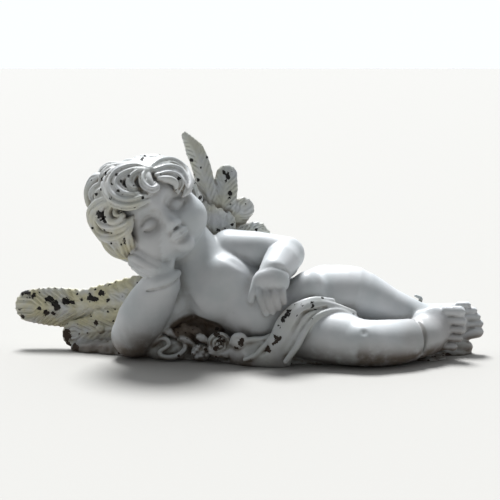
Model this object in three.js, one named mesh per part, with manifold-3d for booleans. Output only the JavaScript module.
// A reclining cherub, cast in one piece of stone: the child lies on its right side with its cheek on its
// right hand, its left hand on its belly and a cloth over one thigh. Millimetres, +Z up, +X from the head
// towards the feet, -Y the side that the child faces. The origin is under the middle of the piece.
//
// The figure is modelled like clay. Every form is a function that gives the distance from a point to that
// form's skin, each is pressed into one field of distances with a soft join, and the field's zero surface is
// then cut into triangles, thinned to the few that its curves need, and sawn off flat underneath.
import * as THREE from "three";
import { mergeVertices } from "three/addons/utils/BufferGeometryUtils.js";
import Module from "manifold-3d";

// ---------------------------------------------------------------- driving sizes
const CELL = 2.25; // spacing of the field of distances
const TRIANGLES = 9400; // of the finished solid
const FIELD_LOW = [-232, -82, -6];
const FIELD_HIGH = [226, 76, 214];
const HEAD = 94; // chin to crown, without the hair
const FEATHER = 6; // thickness of a wing feather
const LEAF = 4; // thickness of a leaf

// ---------------------------------------------------------------- vectors
const add = (a, b) => [a[0] + b[0], a[1] + b[1], a[2] + b[2]];
const sub = (a, b) => [a[0] - b[0], a[1] - b[1], a[2] - b[2]];
const times = (a, s) => [a[0] * s, a[1] * s, a[2] * s];
const dot = (a, b) => a[0] * b[0] + a[1] * b[1] + a[2] * b[2];
const cross = (a, b) => [a[1] * b[2] - a[2] * b[1], a[2] * b[0] - a[0] * b[2], a[0] * b[1] - a[1] * b[0]];
const size = (a) => Math.hypot(a[0], a[1], a[2]);
const unit = (a) => times(a, 1 / size(a));
const mix = (a, b, t) => add(times(a, 1 - t), times(b, t));
const clamp = (x, low, high) => Math.min(Math.max(x, low), high);

// Three square axes: the first along, the second as near to facing as that allows.
function axesOf(along, facing) {
  const x = unit(along);
  const y = unit(sub(facing, times(x, dot(facing, x))));
  return [x, y, cross(x, y)];
}

// A smooth curve through the points, as many pieces as asked.
function through(points, pieces) {
  const curve = new THREE.CatmullRomCurve3(
    points.map((p) => new THREE.Vector3(...p)),
    false,
    "catmullrom",
    0.5,
  );
  return curve.getPoints(pieces).map((p) => p.toArray());
}

// The value at share t of a list of numbers spread evenly from 0 to 1.
function along(list, t) {
  const at = clamp(t, 0, 1) * (list.length - 1);
  const i = Math.min(Math.floor(at), list.length - 2);
  return list[i] + (list[i + 1] - list[i]) * (at - i);
}

// ---------------------------------------------------------------- shapes
// A shape is {low, high, at}: the box that holds it, and the distance from a point to its skin, which is
// below 0 inside.
function boxOf(points, reach) {
  const low = [0, 1, 2].map((i) => Math.min(...points.map((p) => p[i])) - reach);
  const high = [0, 1, 2].map((i) => Math.max(...points.map((p) => p[i])) + reach);
  return { low, high };
}

// An egg with its radii along, facing and across its own axes.
function egg(centre, radii, axis = [1, 0, 0], facing = [0, -1, 0]) {
  const axes = axesOf(axis, facing);
  const at = (p) => {
    const q = sub(p, centre);
    let near = 0;
    let steep = 0;
    for (let i = 0; i < 3; i++) {
      const part = dot(q, axes[i]) / radii[i];
      near += part * part;
      steep += (part / radii[i]) * (part / radii[i]);
    }
    near = Math.sqrt(near);
    return near < 1e-6 ? -Math.min(...radii) : (near * (near - 1)) / Math.sqrt(steep);
  };
  return { ...boxOf([centre], Math.max(...radii)), at };
}

const ball = (centre, radius) => egg(centre, [radius, radius, radius]);

// The nearest place on a chain of points: its share of the whole length, and the offset from it.
function nearestOn(chain) {
  const spans = chain.slice(1).map((p, i) => sub(p, chain[i]));
  const squares = spans.map((s) => dot(s, s));
  return (p) => {
    let best = { square: Infinity };
    spans.forEach((span, i) => {
      const q = sub(p, chain[i]);
      const t = clamp(dot(q, span) / squares[i], 0, 1);
      const offset = sub(q, times(span, t));
      const square = dot(offset, offset);
      if (square < best.square) best = { square, offset, span, share: (i + t) / spans.length };
    });
    return best;
  };
}

// A round limb through the points, its radii spread evenly from end to end.
function limb(chain, radii) {
  const nearest = nearestOn(chain);
  const at = (p) => {
    const n = nearest(p);
    return Math.sqrt(n.square) - along(radii, n.share);
  };
  return { ...boxOf(chain, Math.max(...radii)), at };
}

// A flat band through the points, round at its ends: half its width across, half its depth towards facing.
// Facing is one direction, or gives the direction for a point. With edge 1 the band's section is an ellipse,
// with edge 2 a plate with a round rim.
function band(chain, halfWidths, halfDepths, facing, edge = 1) {
  const nearest = nearestOn(chain);
  const at = (p) => {
    const n = nearest(p);
    const [x, y, z] = axesOf(n.span, typeof facing === "function" ? facing(p) : facing);
    const wide = along(halfWidths, n.share);
    const deep = along(halfDepths, n.share);
    const plan = Math.hypot(dot(n.offset, x), dot(n.offset, z)) / wide;
    const height = dot(n.offset, y) / deep;
    const round = Math.hypot(plan ** edge, height);
    const steep = Math.hypot((edge * plan ** (2 * edge - 1)) / wide, height / deep);
    return Math.max((round * (round - 1)) / Math.max(steep, 1e-4), -deep);
  };
  return { ...boxOf(chain, Math.max(...halfWidths, ...halfDepths)), at };
}

// ---------------------------------------------------------------- the field of distances
const FAR = 1000;
const counts = FIELD_LOW.map((low, i) => Math.ceil((FIELD_HIGH[i] - low) / CELL) + 1);
const index = (i, j, k) => i + counts[0] * (j + counts[1] * k);
const newField = () => new Float32Array(counts[0] * counts[1] * counts[2]).fill(FAR);
const place = (i, j, k) => [FIELD_LOW[0] + i * CELL, FIELD_LOW[1] + j * CELL, FIELD_LOW[2] + k * CELL];

const softMin = (a, b, soft) => {
  const near = Math.max(soft - Math.abs(a - b), 0) / Math.max(soft, 1e-6);
  return Math.min(a, b) - (near * near * soft) / 4;
};

// Presses a shape into the field. soft is how many millimetres wide the join is.
function press(field, shape, soft, reach, blend) {
  const step = (v, i, round) => clamp(round((v - FIELD_LOW[i]) / CELL), 0, counts[i] - 1);
  const from = shape.low.map((v, i) => step(v - reach, i, Math.floor));
  const to = shape.high.map((v, i) => step(v + reach, i, Math.ceil));
  for (let k = from[2]; k <= to[2]; k++) {
    for (let j = from[1]; j <= to[1]; j++) {
      for (let i = from[0]; i <= to[0]; i++) {
        const n = index(i, j, k);
        field[n] = blend(field[n], shape.at(place(i, j, k)), soft);
      }
    }
  }
}
const softCut = (a, b, soft) => -softMin(-a, b, soft);
const join = (field, shape, soft, reach = 22) => press(field, shape, soft, reach, softMin);
const carve = (field, shape, soft, reach = 6) => press(field, shape, soft, reach, softCut);

function merge(into, from, soft) {
  for (let n = 0; n < into.length; n++) if (from[n] < FAR) into[n] = softMin(into[n], from[n], soft);
}

// A soft groove along a chain of points.
function crease(clay, points, width, soft) {
  carve(clay, limb(through(points, 10), [0.3 * width, width, width, 0.3 * width]), soft, 6);
}

// Empties the outermost layer of the field, so that no form runs out through it.
function close(field) {
  for (let k = 0; k < counts[2]; k++) {
    for (let j = 0; j < counts[1]; j++) {
      for (let i = 0; i < counts[0]; i++) {
        const edge = [i, j, k].some((n, axis) => n === 0 || n === counts[axis] - 1);
        if (edge) field[index(i, j, k)] = Math.max(field[index(i, j, k)], CELL);
      }
    }
  }
}

// ---------------------------------------------------------------- landmarks of the child
const NECK = [-44, 6, 86];
const CHEST = [-30, 3, 66];
const BELLY = [8, -9, 43];
const PELVIS = [46, 0, 40];

const LEFT_ARM = { shoulder: [-20, 9, 97], middle: [4, 3, 98], elbow: [32, 1, 94], wrist: [20, -34, 84] };
const RIGHT_ARM = {
  shoulder: [-60, 6, 56],
  elbow: [-108, -10, 21],
  middle: [-96, -17, 44],
  wrist: [-81, -27, 71],
};
const LEFT_LEG = {
  hip: [68, 6, 56],
  thigh: [94, 5, 56],
  knee: [126, 6, 44],
  calf: [146, 6, 37],
  ankle: [170, 8, 31],
};
const RIGHT_LEG = {
  hip: [46, -21, 27],
  thigh: [72, -36, 25],
  knee: [98, -44, 21],
  calf: [124, -40, 20.5],
  shin: [143, -30, 21],
  ankle: [157, -21, 22],
};

function torso() {
  const clay = newField();
  const spine = sub(PELVIS, NECK);
  join(clay, egg(CHEST, [36, 30, 37], spine), 0);
  join(clay, egg(BELLY, [38, 31, 34], spine), 16);
  join(clay, egg(PELVIS, [31, 31, 34], spine), 16);
  // breasts, the fold under them and the lower belly's roll
  join(clay, egg([-22, -20, 76], [19, 12, 17], spine), 10);
  join(clay, egg([-38, -18, 56], [18, 12, 17], spine), 10);
  join(clay, egg([50, -18, 64], [16, 15, 18], [1, 0, -0.4]), 8);
  // buttocks and shoulder blades
  join(clay, ball([56, 22, 52], 22), 12);
  join(clay, ball([50, 18, 26], 24), 12);
  join(clay, egg([-34, 26, 84], [18, 9, 16], spine), 12);
  // a roll at the waist, and the folds of the flank, the hip and the chest
  crease(clay, [[-57, -20, 56], [-50, -27, 42], [-40, -32, 26]], 1.4, 9);
  crease(clay, [[36, -34, 84], [34, -42, 70], [40, -44, 56]], 1.4, 8);
  crease(clay, [[56, -22, 86], [59, -30, 77], [62, -33, 66], [66, -32, 54]], 1.5, 7);
  crease(clay, [[-33, -18, 104], [-22, -24, 96], [-8, -28, 88], [12, -32, 80]], 1.3, 6);
  // neck and right shoulder
  join(clay, limb([[-36, 6, 76], NECK, [-60, 4, 106]], [25, 23, 22]), 10);
  join(clay, ball([-56, 2, 74], 21), 10);
  return clay;
}

function legs(clay) {
  join(clay, limb(through(Object.values(LEFT_LEG), 16), [27, 25.5, 18, 15, 10.5]), 7);
  join(clay, limb(through(Object.values(RIGHT_LEG), 18), [26, 24, 21, 20.5, 19, 16]), 6);
  join(clay, egg([100, -57, 27], [12, 8, 10]), 10); // kneecap
}

function foot(clay, { ankle, heel, sole, toes }) {
  join(clay, egg(sole.centre, sole.radii, sole.axis), 9);
  join(clay, limb([ankle, sole.centre], [13, 10]), 10);
  join(clay, ball(heel, 12.5), 8);
  for (const [root, tip, radius] of toes) {
    const knuckle = add(mix(root, tip, 0.5), [0, -0.8, 0.3]);
    join(clay, limb([root, knuckle, tip], [radius * 0.92, radius * 0.86, radius]), 0.4, 6);
  }
}

function feet(clay) {
  foot(clay, {
    ankle: RIGHT_LEG.ankle,
    heel: [158, -2, 15],
    sole: { centre: [166, -13, 27], radii: [20, 9, 21], axis: [1, 0.05, 0.25] },
    toes: [
      [[176, -13, 44], [188, -15, 43.5], 5.6],
      [[176, -16, 35.6], [190.5, -17, 35.4], 4.1],
      [[176, -17, 28], [190, -18, 27.6], 3.9],
      [[175, -18, 20.6], [187.5, -19, 20], 3.8],
      [[172, -18, 12.5], [182, -20, 12.5], 4.2],
    ],
  });
  foot(clay, {
    ankle: LEFT_LEG.ankle,
    heel: [176, 20, 17],
    sole: { centre: [186, 13, 28], radii: [20, 8.5, 18], axis: [1, 0.02, -0.05] },
    toes: [
      [[193, 11, 14.5], [208.5, 7, 20.5], 5.6],
      [[198, 9, 27], [210, 7, 28.2], 3.9],
      [[197, 9, 34], [207.5, 7, 34.6], 3.7],
      [[195, 10, 40], [204.5, 8, 40.2], 3.5],
      [[191, 10, 45.2], [199, 9, 45.2], 3.3],
    ],
  });
}

function hand(clay, { palm, palmRadii, axis, facing, fingers, thumb, thickness }) {
  join(clay, egg(palm, palmRadii, axis, facing), 2.5, 8);
  const radii = [1.08, 1, 1.04, 0.94, 0.84].map((share) => thickness * share);
  for (const finger of fingers) join(clay, limb(through(finger, 8), radii), 0.8, 8);
  join(clay, limb(through(thumb, 6), [5.2, 4.2, 4, 3.4]), 1.5, 8);
}

function leftArm(clay) {
  const a = LEFT_ARM;
  join(clay, limb(through([a.shoulder, a.middle, a.elbow], 8), [19, 17, 16, 16]), 5);
  join(clay, limb([a.elbow, mix(a.elbow, a.wrist, 0.45), a.wrist], [15.5, 16.5, 13.5]), 1.5);
  hand(clay, {
    palm: [17.5, -41, 76.5],
    palmRadii: [13.5, 10.5, 16],
    axis: [-0.1, 0, -1],
    facing: [0, -1, 0.2],
    fingers: [
      [[7.5, -45, 70], [7.5, -48.5, 65], [9.5, -48, 57], [13, -44, 48]],
      [[13.5, -47, 71], [13.8, -50.5, 65], [15.5, -50, 57], [18.5, -46, 50]],
      [[19.5, -47, 72], [20.2, -50.5, 66], [21.5, -50, 59], [23.7, -46, 53.5]],
      [[25.5, -44, 73], [26.2, -47.5, 68], [27, -47, 63], [28.2, -44, 58]],
    ],
    thumb: [[6, -38, 79], [3, -42, 71], [1, -43.5, 65], [-0.5, -43, 60]],
    thickness: 3.8,
  });
  crease(clay, [[1.5, -37, 81], [7, -44, 87.5], [17, -47, 91], [27, -44, 88], [33.5, -35, 81]], 1, 3);
}

function rightArm(clay) {
  const a = RIGHT_ARM;
  join(clay, limb([a.shoulder, mix(a.shoulder, a.elbow, 0.5), a.elbow], [21, 19, 19]), 5);
  join(clay, limb(through([a.elbow, a.middle, a.wrist], 8), [20, 22.5, 21, 17]), 3);
  hand(clay, {
    palm: [-83, -32, 84],
    palmRadii: [14, 10, 12],
    axis: [-0.75, -0.1, 0.66],
    facing: [-0.2, -0.95, -0.2],
    fingers: [
      [[-84, -39, 92], [-92, -41, 97], [-99, -39, 101], [-104.5, -35, 101]],
      [[-86, -40, 88], [-95, -42, 93], [-102, -40, 96.5], [-107, -35, 96]],
      [[-88, -38, 84], [-97, -39, 88], [-103, -37, 91.5], [-107, -32, 91]],
      [[-90, -33, 80], [-97, -33, 83], [-102, -31, 86.5], [-105, -27, 87]],
    ],
    thumb: [[-74, -32, 90], [-72, -30, 97], [-75, -26, 102]],
    thickness: 4.1,
  });
}

// ---------------------------------------------------------------- head
// Head sizes are shares of HEAD, measured from the middle of the head: left, forward, up.
const HEAD_AT = [-88, -2, 131];
const [HEAD_UP, HEAD_FORWARD, HEAD_LEFT] = axesOf([-0.62, 0.12, 0.77], [0.22, -0.96, 0.18]);
const SKULL = [0.41, 0.46, 0.5];
const SKULL_AT = [0, 0, 0.04];

function headPoint([left, forward, up]) {
  const across = add(times(HEAD_LEFT, left * HEAD), times(HEAD_FORWARD, forward * HEAD));
  return add(HEAD_AT, add(across, times(HEAD_UP, up * HEAD)));
}

// An egg in the head's own axes: its radii left, forward and up.
function headEgg(centre, [left, forward, up]) {
  return egg(headPoint(centre), [up * HEAD, forward * HEAD, left * HEAD], HEAD_UP, HEAD_FORWARD);
}

const headBall = (centre, radius) => headEgg(centre, [radius, radius, radius]);
const both = ([left, forward, up], build) => [-1, 1].map((side) => build([side * left, forward, up]));

function face(clay) {
  join(clay, headEgg(SKULL_AT, SKULL), 0);
  join(clay, headEgg([0, 0.1, -0.16], [0.33, 0.34, 0.33]), 12);
  join(clay, headBall([0, 0.22, 0.12], 0.27), 12);
  both([0.19, 0.22, -0.22], (at) => join(clay, headBall(at, 0.195), 8));
  join(clay, headBall([0, 0.36, -0.415], 0.085), 7, 8);
  // closed eyes, each a ball that just fills its socket
  both([0.155, 0.455, -0.06], (at) => carve(clay, headEgg(at, [0.1, 0.07, 0.07]), 9, 10));
  both([0.155, 0.335, -0.07], (at) => join(clay, headEgg(at, [0.088, 0.08, 0.072]), 3, 6));
  // nose, lips
  join(clay, limb([[0, 0.43, -0.05], [0, 0.49, -0.19]].map(headPoint), [0.032 * HEAD, 0.048 * HEAD]), 6, 8);
  both([0.045, 0.455, -0.215], (at) => join(clay, headBall(at, 0.034), 3, 6));
  const lip = (up, forward, wide) => [-wide, 0, wide].map((x) => headPoint([x, forward - 3 * x * x, up]));
  join(clay, limb(through(lip(-0.292, 0.445, 0.06), 4), [0.012 * HEAD, 0.026 * HEAD, 0.012 * HEAD]), 3, 6);
  join(clay, limb(through(lip(-0.338, 0.44, 0.045), 4), [0.014 * HEAD, 0.03 * HEAD, 0.014 * HEAD]), 3, 6);
}

// A place on the hair: degrees round from the face towards the left ear, degrees up, and millimetres out from
// the skull.
function hairPoint([round, up, out = 9]) {
  const [a, b] = [(round * Math.PI) / 180, (up * Math.PI) / 180];
  const way = [Math.cos(b) * Math.sin(a), Math.cos(b) * Math.cos(a), Math.sin(b)];
  return headPoint(way.map((v, i) => SKULL_AT[i] + v * (SKULL[i] + out / HEAD)));
}

// Each lock of hair is swept over the head from its root to its tip, half as wide as its width.
const LOCKS = [
  // the swirl over the right temple: four locks that leave the parting and curl down to the forehead
  {
    half: 6,
    path: [
      [21, 29], [18, 40, 7], [8, 50, 5], [-10, 58, 5], [-32, 56, 7], [-44, 46], [-43, 33], [-35, 21],
      [-24, 12], [-12, 8], [-5, 7, 5],
    ],
  },
  {
    half: 5.5,
    path: [
      [19, 29], [13, 40], [0, 47], [-17, 50], [-31, 45], [-35, 35], [-30, 24], [-20, 16], [-9, 12],
      [0, 11, 5],
    ],
  },
  { half: 5, path: [[17, 28], [9, 36], [-4, 41], [-18, 42], [-25, 36], [-22, 26], [-14, 19], [-4, 15, 5]] },
  { half: 4.5, path: [[16, 28], [7, 34], [-3, 34], [-10, 30], [-10, 24], [-5, 21, 5]] },
  // the small round lock at the parting
  { half: 4.5, path: [[15, 30], [7, 27], [2, 20], [4, 13], [10, 11], [13, 16, 8]] },
  { half: 3.5, path: [[16, 27], [11, 22], [8, 16], [11, 12, 6]] },
  // the bunch over the left temple
  { half: 6, path: [[25, 30], [41, 29], [58, 23], [62, 11], [52, 0], [40, -7], [33, -10, 5]] },
  { half: 5.5, path: [[24, 25], [39, 20], [50, 12], [47, 2], [37, -4, 5]] },
  { half: 4.5, path: [[20, 20], [33, 15], [40, 8], [38, 0], [30, -5, 4]] },
  { half: 4, path: [[19, 16], [28, 10], [31, 4], [29, -2, 4]] },
  // over the crown, behind the swirl
  {
    half: 6.5,
    path: [
      [22, 30, 7], [25, 42, 3], [19, 56, 1], [6, 72, 1], [-50, 80, 8], [-80, 72, 11], [-70, 62],
    ],
  },
  {
    half: 5.5,
    path: [
      [21, 30, 7], [21, 40, 5], [13, 53, 3], [-3, 65, 4], [-27, 66, 9], [-45, 60, 12], [-54, 53, 12],
    ],
  },
  { half: 8, path: [[30, 38, 2], [44, 52, -1], [80, 64, -1], [130, 64, 2], [160, 54, 6]] },
  { half: 8, path: [[26, 44, 1], [40, 66, -1], [150, 80, 0], [190, 62, 5], [200, 42, 7]] },
  { half: 7.5, path: [[31, 33, 4], [46, 42, 0], [70, 50, -1], [104, 50, 2], [136, 42, 5]] },
  { half: 7, path: [[60, 26, 5], [74, 38, 2], [96, 38, 2], [124, 28, 5]] },
  // the bunch over the right ear
  { half: 7, path: [[-56, 62, 11], [-76, 61, 13], [-91, 51, 14], [-93, 40, 13], [-88, 33, 11]] },
  { half: 5.5, path: [[-52, 52], [-64, 51, 11], [-76, 46, 13], [-76, 38, 12]] },
  { half: 5, path: [[-48, 44], [-58, 43, 11], [-68, 38, 12]] },
  // below it, long locks that turn back under themselves
  {
    half: 6.5,
    path: [
      [-46, 33], [-62, 35, 11], [-80, 32, 13], [-94, 25, 13], [-98, 14, 12], [-98, 2, 11],
      [-94, -8, 9],
    ],
  },
  {
    half: 6,
    path: [
      [-44, 28], [-58, 30, 11], [-74, 28, 13], [-86, 20, 13], [-84, 10, 12], [-72, 3, 11], [-57, -2],
      [-44, -3], [-36, 1, 5],
    ],
  },
  { half: 5.5, path: [[-62, 24, 12], [-70, 22, 12], [-66, 14, 11], [-53, 6], [-41, 3], [-33, 4, 5]] },
  { half: 4, path: [[-45, 24], [-53, 21, 11], [-54, 13, 11], [-46, 9], [-39, 10], [-39, 15, 8]] },
  { half: 3, path: [[-43, 20], [-45, 15, 10], [-41, 12, 9]] },
  // down to the hand and the nape
  { half: 6, path: [[-92, 12, 11], [-97, -2, 11], [-97, -14, 9], [-90, -22, 6]] },
  { half: 5.5, path: [[-78, 6, 11], [-74, -4, 10], [-82, -14, 9], [-84, -26, 5]] },
  { half: 5, path: [[-62, -2], [-66, -10], [-76, -18], [-80, -28, 4]] },
  { half: 4.5, path: [[-48, -6], [-56, -12, 8], [-66, -20, 6], [-70, -30, 3]] },
  // left side, round the ear
  { half: 5.5, path: [[62, 18, 6], [76, 10, 5], [82, -6, 4], [80, -20, 2]] },
  { half: 7, path: [[74, 30, 5], [92, 22, 4], [100, 2, 4], [98, -18, 4], [92, -32, 3]] },
  // back of the head
  { half: 8, path: [[-104, 60], [-120, 46], [-124, 26], [-116, 10]] },
  { half: 8, path: [[-112, 28], [-130, 16], [-136, -4], [-126, -22]] },
  { half: 7, path: [[-110, 2], [-118, -16], [-112, -34, 6]] },
  { half: 8, path: [[-140, 52], [-152, 34], [-150, 12], [-140, 0]] },
  { half: 8, path: [[-148, 4], [-156, -14], [-146, -34, 6]] },
  { half: 8, path: [[172, 48], [162, 28], [168, 8], [180, 0]] },
  { half: 8, path: [[-172, 6], [-176, -14], [-166, -36, 6]] },
  { half: 8, path: [[118, 52], [110, 30], [118, 10], [130, 4]] },
  { half: 8, path: [[150, 26], [140, 6], [146, -12], [156, -18]] },
  { half: 7, path: [[120, 2], [112, -14], [118, -32, 6]] },
  { half: 7, path: [[148, -10], [142, -24], [150, -40, 6]] },
];

function hair(clay) {
  join(clay, headEgg([-0.03, -0.12, 0.06], [0.47, 0.43, 0.49]), 2, 8);
  const skull = headPoint(SKULL_AT);
  for (const { path, half } of LOCKS) {
    const widths = [0.6, 0.92, 1, 1, 0.9, 0.7, 0.3].map((share) => half * share);
    const depths = [0.6, 0.85, 0.95, 0.95, 0.8, 0.6, 0.3].map((share) => half * share);
    const chain = through(path.map(hairPoint), 3 * path.length);
    join(clay, band(chain, widths, depths, (p) => sub(p, skull)), 0.8, 8);
  }
  // the left ear
  const ear = [[0.38, -0.02, -0.13], [0.43, -0.05, -0.09], [0.43, -0.06, -0.01], [0.39, -0.01, 0.01]];
  join(clay, limb(through(ear.map(headPoint), 8), [3.2, 2.8, 2.6, 2.2]), 1.5, 6);
}

// ---------------------------------------------------------------- wings
// A feather: a flat blade along its shaft, facing the front. Leaves are made the same way.
function feather(clay, { shaft, width, tip = 0.5, facing = [0, -1, 0], thickness = FEATHER }) {
  const blade = [0.7, 0.92, 1, 1, 0.95, tip].map((share) => (share * width) / 2);
  const depths = [1, 1, 0.95, 0.9, 0.8].map((share) => (share * thickness) / 2);
  join(clay, band(through(shaft, 10), blade, depths, facing, 2), 0.6, 8);
}

// A row of small feathers from first to last, all pointing the same way.
function coverts(clay, { first, last, count, way, width }) {
  const bow = times([0, -0.1, 0.06], size(way));
  for (let n = 0; n < count; n++) {
    const root = mix(first, last, n / (count - 1));
    const shaft = [root, add(add(root, times(way, 0.5)), bow), add(root, way)];
    feather(clay, { shaft, width, tip: 0.55, thickness: 5 });
  }
}

function leftWing(clay) {
  join(clay, egg([-37, 26, 108], [17, 7, 12], [0, 0.2, 1], [0, -1, 0.2]), 4, 10);
  const low = [[-30, 24, 103], [-8, 29, 109], [4, 31, 111.5], [12, 33, 109]];
  feather(clay, { shaft: low, width: 17, tip: 0.6 });
  const broad = [[-29, 25, 103], [-25, 31, 117], [-17, 35, 125], [-8, 39, 131.5]];
  feather(clay, { shaft: broad, width: 27, tip: 0.8 });
  const middle = [[-31, 26, 105], [-29, 33, 126], [-26, 38, 145], [-23.5, 43, 162.5]];
  feather(clay, { shaft: middle, width: 25, tip: 0.8 });
  const tall = [
    [-33, 26, 108], [-38, 33, 130], [-42.5, 37, 150],
    [-47, 41, 170], [-53.5, 44, 186], [-62, 46, 199],
  ];
  feather(clay, { shaft: tall, width: 18, tip: 0.42 });
  // a stray lock between the ear and the wing
  join(clay, limb(through([[-62, 8, 142], [-55, 20, 138], [-45, 28, 133]], 6), [3, 2.2, 2.6]), 2, 6);
  coverts(clay, { first: [-42, 24, 119], last: [-20, 24, 109], count: 4, way: [-2, 4, 18], width: 12 });
  coverts(clay, { first: [-43, 21, 110], last: [-20, 21, 103], count: 4, way: [0, 3, 15], width: 10 });
}

function rightWing(clay) {
  const low = [0, -1, 0.15];
  join(clay, egg([-84, 16, 48], [26, 10, 20]), 6, 12);
  const short = [[-100, 17, 24], [-120, 20, 22], [-142, 23, 18], [-165, 26, 14.5]];
  feather(clay, { shaft: short, width: 31, tip: 0.85, facing: low });
  const long = [[-100, 20, 45], [-130, 27, 38], [-160, 33, 37], [-186, 37, 39], [-210.5, 38, 40]];
  feather(clay, { shaft: long, width: 38, tip: 0.68 });
  coverts(clay, { first: [-95, 17, 57], last: [-154, 32, 43], count: 8, way: [-14, 2, 11], width: 13 });
  coverts(clay, { first: [-98, 16, 47], last: [-148, 30, 41], count: 6, way: [-15, 2, 2], width: 13 });
  coverts(clay, { first: [-98, 16, 36], last: [-134, 25, 34], count: 5, way: [-14, 2, -3], width: 12 });
  join(clay, egg([-141, 19.5, 21], [4.2, 3, 4.2]), 0.8, 6); // a little rosette
}

// ---------------------------------------------------------------- cloth, flowers, ground
function cloth(clay) {
  // the band over the right thigh, from the ground in front to between the legs, with a roll on each rim
  const rise = [
    [22, -46, 4], [24, -50, 17], [32, -51, 33], [41, -48, 46],
    [54, -42, 53], [70, -36, 52], [90, -28, 44],
  ];
  join(clay, band(through(rise, 20), [13, 12, 11, 9, 7, 5, 4], [5, 4.5, 4], [0.1, -1, 0.4], 2), 3, 8);
  const rim = [
    [2, -45, 8], [10, -49, 15], [19, -50, 28], [24, -49, 40],
    [32, -47, 51], [42, -43, 56], [56, -39, 59.5], [72, -33, 57],
  ];
  join(clay, limb(through(rim, 22), [2, 3.4, 3, 2.8, 2.4]), 1.2, 6);
  const inner = [
    [30, -57, 7], [39, -57, 20], [45, -55, 31], [52, -50, 41],
    [63, -45, 48], [78, -37, 49], [94, -30, 41],
  ];
  join(clay, limb(through(inner, 20), [2.6, 3.2, 3, 2.6, 2]), 1.2, 6);
  crease(clay, [[26, -56, 12], [34, -56, 30], [40, -53, 42], [48, -48, 50], [66, -41, 53]], 1.2, 3);
  // the part that lies on the ground: a hollow scoop with a sharp ridge, and the knot
  join(clay, egg([2, -41, 10], [24, 9, 13], [1, -0.25, 0]), 4, 8);
  carve(clay, egg([2, -52, 19], [13, 8, 8], [1, -0.2, 0]), 3, 6);
  const ridge = through([[19, -47, 27], [10, -49, 18], [3, -50, 11], [-6, -50, 7]], 8);
  join(clay, limb(ridge, [2.4, 2.6, 2.2]), 1.5, 6);
  const hem = through([[-8, -42, 22], [2, -43, 24], [10, -43, 24.5], [19, -44, 28]], 8);
  join(clay, limb(hem, [3, 2.4, 2.6]), 2, 6);
  join(clay, egg([-12, -42, 20], [6.5, 5.5, 7], [0.5, 0, 1]), 1, 6);
  const knot = through([[-18, -41, 20], [-15, -43, 26], [-9, -43, 27], [-5, -42, 23]], 8);
  join(clay, limb(knot, [2.4, 3.2, 3, 2.2]), 1, 6);
}

function ruffle(clay) {
  const lip = [
    [-94, -15, 5], [-91, -17, 12], [-87, -20, 17], [-82, -22, 20.5], [-77, -23, 19.5],
    [-75, -24, 15.5], [-78, -25, 12], [-83, -25, 9], [-82, -26, 5.5], [-76, -27, 4],
    [-68, -26, 5], [-62, -24, 9], [-60, -22, 13], [-62, -20, 17.5], [-66, -19, 19],
  ];
  join(clay, egg([-76, -13, 8], [20, 9, 12]), 3, 8);
  carve(clay, egg([-86, -25, 12], [6, 6, 4], [0.5, 0, 1]), 2, 6);
  carve(clay, egg([-70, -27, 12], [9, 7, 6], [1, 0, 0.2]), 2, 6);
  join(clay, limb(through(lip, 36), [2.2, 2.4, 2.2, 2.6, 2]), 0.8, 6);
}

function flowers(clay) {
  // the rose: rings of petals round its heart, each a thin shell seen from its edge
  const rose = [-29, -33, 18];
  join(clay, egg(add(rose, [0, 3, 0]), [10, 7, 11], [0.2, 0, 1]), 2, 6);
  const outer = { radius: 8.6, petals: 5, forward: 2, turn: 0.3 };
  const heart = { radius: 5, petals: 4, forward: 4.5, turn: 0.9 };
  for (const ring of [outer, heart]) {
    const share = (2 * Math.PI) / ring.petals;
    for (let petal = 0; petal < ring.petals; petal++) {
      const arc = [-0.72, -0.36, 0, 0.36, 0.72].map((t) => {
        const angle = (petal + t) * share + ring.turn;
        const radius = ring.radius * (1 - 0.23 * t * t);
        return add(rose, [radius * Math.cos(angle), -ring.forward, 1.1 * radius * Math.sin(angle)]);
      });
      join(clay, limb(arc, [1, 1.6, 1]), 0.5, 5);
    }
  }
  // the bud, and leaves under the rose and on the bank behind them
  join(clay, egg([-46, -25, 8], [10.5, 7.5, 9]), 1.5, 6);
  const leaves = [
    { root: [-26, -35, 12], tip: [-39, -34, 15], width: 8 },
    { root: [-28, -36, 9], tip: [-17, -35, 18], width: 7 },
    { root: [-56, -16, 20], tip: [-70, -15, 27], width: 8 },
    { root: [-54, -16, 24], tip: [-64, -13, 31], width: 7 },
    { root: [-54, -21, 15], tip: [-66, -19, 23], width: 7 },
    { root: [-44, -20, 22], tip: [-56, -16, 29], width: 8 },
    { root: [-70, -17, 22], tip: [-80, -16, 28], width: 7 },
    { root: [-40, -26, 18], tip: [-50, -23, 24], width: 7 },
  ];
  for (const { root, tip, width } of leaves) {
    const shaft = [root, add(mix(root, tip, 0.5), [0, -2.5, 1]), tip];
    feather(clay, { shaft, width, tip: 0.4, facing: [0, -1, 0.4], thickness: LEAF });
  }
}

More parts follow.
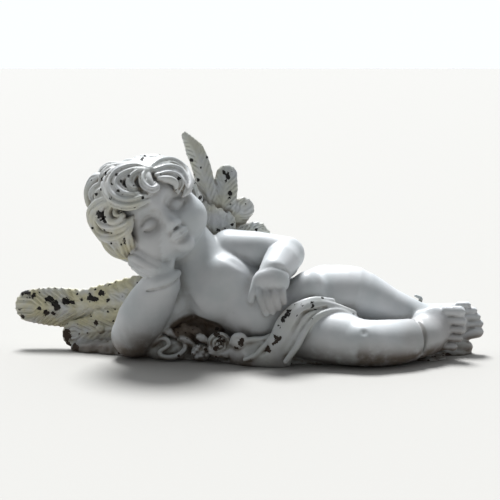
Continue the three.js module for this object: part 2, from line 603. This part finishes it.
function ground(clay) {
  const rock = (x, y, wide, deep, high) => join(clay, egg([x, y, 0], [wide, deep, high]), 3, 8);
  rock(-118, 14, 30, 13, 11);
  rock(-86, 4, 40, 15, 8);
  rock(-36, -4, 44, 20, 9);
  rock(16, -12, 50, 32, 9);
  rock(76, -10, 56, 30, 8);
  rock(140, -4, 36, 17, 6);
  rock(182, 8, 22, 11, 8);
  // the bank under the chest, the one behind the shins, and a ledge under the right wing
  join(clay, egg([-48, 4, 16], [44, 20, 21]), 6, 12);
  join(clay, egg([135, 16, 14], [40, 12, 18]), 6, 12);
  const ledge = [[-159, 21, 1.5], [-140, 16, 4.5], [-116, 12, 8]];
  join(clay, band(ledge, [7, 10, 13], [3.5, 5, 7], [0, -0.1, 1], 2), 2, 8);
  // slabs under the feet, and a curl of cloth behind the left shin
  join(clay, egg([160, -14, 0], [17, 12, 3.2]), 2, 6);
  join(clay, egg([190, 9, 6], [15, 9, 8]), 2, 6);
  const curl = through([[147, 17, 41], [154.5, 17, 45], [157, 17, 50], [152, 17, 52.5]], 8);
  join(clay, limb(curl, [3, 2, 1.8, 1.4]), 2, 8);
  join(clay, limb([[155, 17, 45], [163, 17, 41], [171, 17, 37]], [1.6, 2, 2]), 1, 6);
}

// ---------------------------------------------------------------- triangles
// Each cell is cut into six tetrahedra round its long diagonal, and the surface crosses each in one or two
// triangles, so the whole is one closed skin whatever the field holds.
const CORNERS = [0, 1, 2, 3, 4, 5, 6, 7].map((c) => [c & 1, (c >> 1) & 1, (c >> 2) & 1]);
const TETRAHEDRA = [[1, 3], [3, 2], [2, 6], [6, 4], [4, 5], [5, 1]].map(([a, b]) => [0, a, b, 7]);

function triangulate(field) {
  const positions = [];
  const triangles = [];
  const made = new Map();
  const total = field.length;
  const vertexOn = (a, b) => {
    const key = a.n < b.n ? a.n * total + b.n : b.n * total + a.n;
    if (!made.has(key)) {
      made.set(key, positions.length);
      positions.push(mix(a.p, b.p, clamp(a.value / (a.value - b.value), 0.02, 0.98)));
    }
    return made.get(key);
  };
  const face = (a, b, c, inner, outer) => {
    const [p, q, r] = [positions[a], positions[b], positions[c]];
    const out = dot(cross(sub(q, p), sub(r, p)), sub(outer.p, inner.p));
    triangles.push(out >= 0 ? [a, b, c] : [a, c, b]);
  };
  for (let k = 0; k < counts[2] - 1; k++) {
    for (let j = 0; j < counts[1] - 1; j++) {
      for (let i = 0; i < counts[0] - 1; i++) {
        const numbers = CORNERS.map(([a, b, c]) => index(i + a, j + b, k + c));
        const inside = numbers.reduce((sum, n) => sum + (field[n] < 0), 0);
        if (inside === 0 || inside === 8) continue;
        const corners = CORNERS.map(([a, b, c], m) => {
          return { n: numbers[m], value: field[numbers[m]], p: place(i + a, j + b, k + c) };
        });
        for (const four of TETRAHEDRA) {
          const ins = four.map((c) => corners[c]).filter((c) => c.value < 0);
          const outs = four.map((c) => corners[c]).filter((c) => c.value >= 0);
          if (ins.length === 1) face(...outs.map((o) => vertexOn(ins[0], o)), ins[0], outs[0]);
          if (ins.length === 3) face(...ins.map((o) => vertexOn(o, outs[0])), ins[0], outs[0]);
          if (ins.length === 2) {
            const [a, b, c, d] = [[0, 0], [0, 1], [1, 1], [1, 0]].map(([m, n]) => vertexOn(ins[m], outs[n]));
            face(a, b, c, ins[0], outs[0]);
            face(a, c, d, ins[0], outs[0]);
          }
        }
      }
    }
  }
  return { positions, triangles };
}

// Keeps the largest closed skin, and leaves out crumbs and sealed hollows.
function largestSkin({ positions, triangles }) {
  const parent = positions.map((_, i) => i);
  const find = (i) => {
    while (parent[i] !== i) i = parent[i] = parent[parent[i]];
    return i;
  };
  for (const [a, b, c] of triangles) {
    parent[find(b)] = find(a);
    parent[find(c)] = find(a);
  }
  const sizes = new Map();
  for (const [a] of triangles) sizes.set(find(a), (sizes.get(find(a)) || 0) + 1);
  const [largest] = [...sizes].reduce((best, now) => (now[1] > best[1] ? now : best));
  return { positions, triangles: triangles.filter(([a]) => find(a) === largest) };
}

// A heap of {cost} items, the cheapest first.
class Heap {
  items = [];
  push(item) {
    const { items } = this;
    let i = items.push(item) - 1;
    while (i > 0) {
      const up = (i - 1) >> 1;
      if (items[up].cost <= item.cost) break;
      items[i] = items[up];
      i = up;
    }
    items[i] = item;
  }
  pop() {
    const { items } = this;
    const top = items[0];
    const last = items.pop();
    const n = items.length;
    if (n === 0) return top;
    let i = 0;
    for (;;) {
      let down = 2 * i + 1;
      if (down >= n) break;
      if (down + 1 < n && items[down + 1].cost < items[down].cost) down++;
      if (items[down].cost >= last.cost) break;
      items[i] = items[down];
      i = down;
    }
    items[i] = last;
    return top;
  }
}

// Thins the skin by merging the ends of one edge after another, always the edge whose loss moves the skin
// least from the planes of the triangles that it stands for.
function thin({ positions, triangles }, wanted) {
  const points = positions.map((p) => [...p]);
  const faces = triangles.map((t) => [...t]);
  const around = points.map(() => new Set());
  faces.forEach((face, f) => face.forEach((v) => around[v].add(f)));
  const normalOf = ([a, b, c]) => cross(sub(b, a), sub(c, a));
  const planes = points.map(() => new Float64Array(10));
  for (const face of faces) {
    const corners = face.map((v) => points[v]);
    const normal = normalOf(corners);
    const area = size(normal);
    if (area < 1e-9) continue;
    const [x, y, z] = times(normal, 1 / area);
    const w = -dot([x, y, z], corners[0]);
    const plane = [x * x, x * y, x * z, x * w, y * y, y * z, y * w, z * z, z * w, w * w];
    for (const v of face) plane.forEach((value, i) => (planes[v][i] += value * area));
  }
  const errorAt = (q, [x, y, z]) =>
    q[0] * x * x + 2 * q[1] * x * y + 2 * q[2] * x * z + 2 * q[3] * x +
    q[4] * y * y + 2 * q[5] * y * z + 2 * q[6] * y + q[7] * z * z + 2 * q[8] * z + q[9];
  const bestPoint = (q, a, b) => {
    const [m0, m1, m2, m3, m4, m5, m6, m7, m8] = q;
    const det = m0 * (m4 * m7 - m5 * m5) - m1 * (m1 * m7 - m5 * m2) + m2 * (m1 * m5 - m4 * m2);
    const middle = mix(a, b, 0.5);
    if (Math.abs(det) > 1e-6) {
      const x = (-m3 * (m4 * m7 - m5 * m5) - m1 * (-m6 * m7 + m5 * m8) + m2 * (-m6 * m5 + m4 * m8)) / det;
      const y = (m0 * (-m6 * m7 + m8 * m5) + m3 * (m1 * m7 - m5 * m2) + m2 * (-m1 * m8 + m6 * m2)) / det;
      const z = (m0 * (-m4 * m8 + m6 * m5) - m1 * (-m1 * m8 + m6 * m2) - m3 * (m1 * m5 - m4 * m2)) / det;
      if (size(sub([x, y, z], middle)) < 1.5 * size(sub(a, b))) return [x, y, z];
    }
    return [a, b, middle].reduce((best, p) => (errorAt(q, p) < errorAt(q, best) ? p : best));
  };
  const version = new Uint32Array(points.length);
  const heap = new Heap();
  const offer = (a, b) => {
    const q = planes[a].map((value, i) => value + planes[b][i]);
    const point = bestPoint(q, points[a], points[b]);
    const long = size(sub(points[a], points[b]));
    const cost = errorAt(q, point) + 1e-4 * long ** 2;
    heap.push({ cost, a, b, q, point, versions: version[a] + version[b] });
  };
  const neighbours = (v) => {
    const found = new Set();
    for (const f of around[v]) for (const u of faces[f]) if (u !== v) found.add(u);
    return found;
  };
  points.forEach((_, a) => neighbours(a).forEach((b) => a < b && offer(a, b)));
  // A merge is refused where it would pinch the skin or turn a triangle over.
  const safe = ({ a, b, point }) => {
    const other = neighbours(b);
    const shared = [...neighbours(a)].filter((v) => other.has(v));
    if (shared.length !== 2) return false;
    for (const [v, w] of [[a, b], [b, a]]) {
      for (const f of around[v]) {
        if (faces[f].includes(w)) continue;
        const before = normalOf(faces[f].map((u) => points[u]));
        const after = normalOf(faces[f].map((u) => (u === v ? point : points[u])));
        if (dot(before, after) < 0.25 * size(before) * size(after) || size(after) < 1e-3) return false;
      }
    }
    return true;
  };
  let left = faces.length;
  const gone = new Uint8Array(points.length);
  while (left > wanted && heap.items.length) {
    const edge = heap.pop();
    const { a, b } = edge;
    if (gone[a] || gone[b] || version[a] + version[b] !== edge.versions || !safe(edge)) continue;
    for (const f of [...around[b]]) {
      if (faces[f].includes(a)) {
        for (const v of faces[f]) around[v].delete(f);
        faces[f] = null;
        left--;
      } else {
        faces[f] = faces[f].map((v) => (v === b ? a : v));
        around[a].add(f);
      }
    }
    gone[b] = 1;
    points[a] = edge.point;
    planes[a] = edge.q;
    version[a] += 1;
    neighbours(a).forEach((v) => offer(a, v));
  }
  return { positions: points, triangles: faces.filter(Boolean) };
}

// ---------------------------------------------------------------- the whole figure
function statue() {
  const clay = torso();
  const limbs = newField();
  legs(limbs);
  feet(limbs);
  merge(clay, limbs, 6);
  const arm = newField();
  leftArm(arm);
  merge(clay, arm, 2.5);
  const head = newField();
  face(head);
  hair(head);
  merge(clay, head, 5);
  const support = newField();
  rightArm(support);
  merge(clay, support, 2.5);
  leftWing(clay);
  rightWing(clay);
  ground(clay);
  cloth(clay);
  ruffle(clay);
  flowers(clay);
  close(clay);
  return thin(largestSkin(triangulate(clay)), TRIANGLES);
}

const wasm = await Module();
wasm.setup();

function solidOf({ positions, triangles }) {
  return new wasm.Manifold(
    new wasm.Mesh({
      numProp: 3,
      vertProperties: new Float32Array(positions.flat()),
      triVerts: new Uint32Array(triangles.flat()),
    }),
  );
}

// A three.js geometry as a solid, its shared corners merged.
function solidOfGeometry(geometry) {
  const bare = geometry.clone();
  bare.deleteAttribute("normal");
  bare.deleteAttribute("uv");
  const { attributes, index: order } = mergeVertices(bare);
  return new wasm.Manifold(
    new wasm.Mesh({
      numProp: 3,
      vertProperties: attributes.position.array,
      triVerts: new Uint32Array(order.array),
    }),
  );
}

// Everything above the ground plane is kept: the underside is one flat face.
function sawnFlat(solid) {
  const block = new THREE.BoxGeometry(600, 400, 400).translate(0, 0, 200);
  return solid.intersect(solidOfGeometry(block));
}

function geometryOf(solid) {
  const { vertProperties, triVerts } = solid.getMesh();
  const geometry = new THREE.BufferGeometry();
  geometry.setAttribute("position", new THREE.BufferAttribute(vertProperties, 3));
  geometry.setIndex(new THREE.BufferAttribute(triVerts, 1));
  geometry.computeVertexNormals();
  return geometry;
}

const stone = new THREE.MeshStandardMaterial({ color: "#cfccc4", roughness: 0.75, metalness: 0 });
const figure = geometryOf(sawnFlat(solidOf(statue())));
figure.computeBoundingBox();
const middle = figure.boundingBox.getCenter(new THREE.Vector3());
figure.translate(-middle.x, -middle.y, 0);

const cherub = new THREE.Mesh(figure, stone);
cherub.name = "cherub_statue";
const group = new THREE.Group();
group.add(cherub);
export default group;
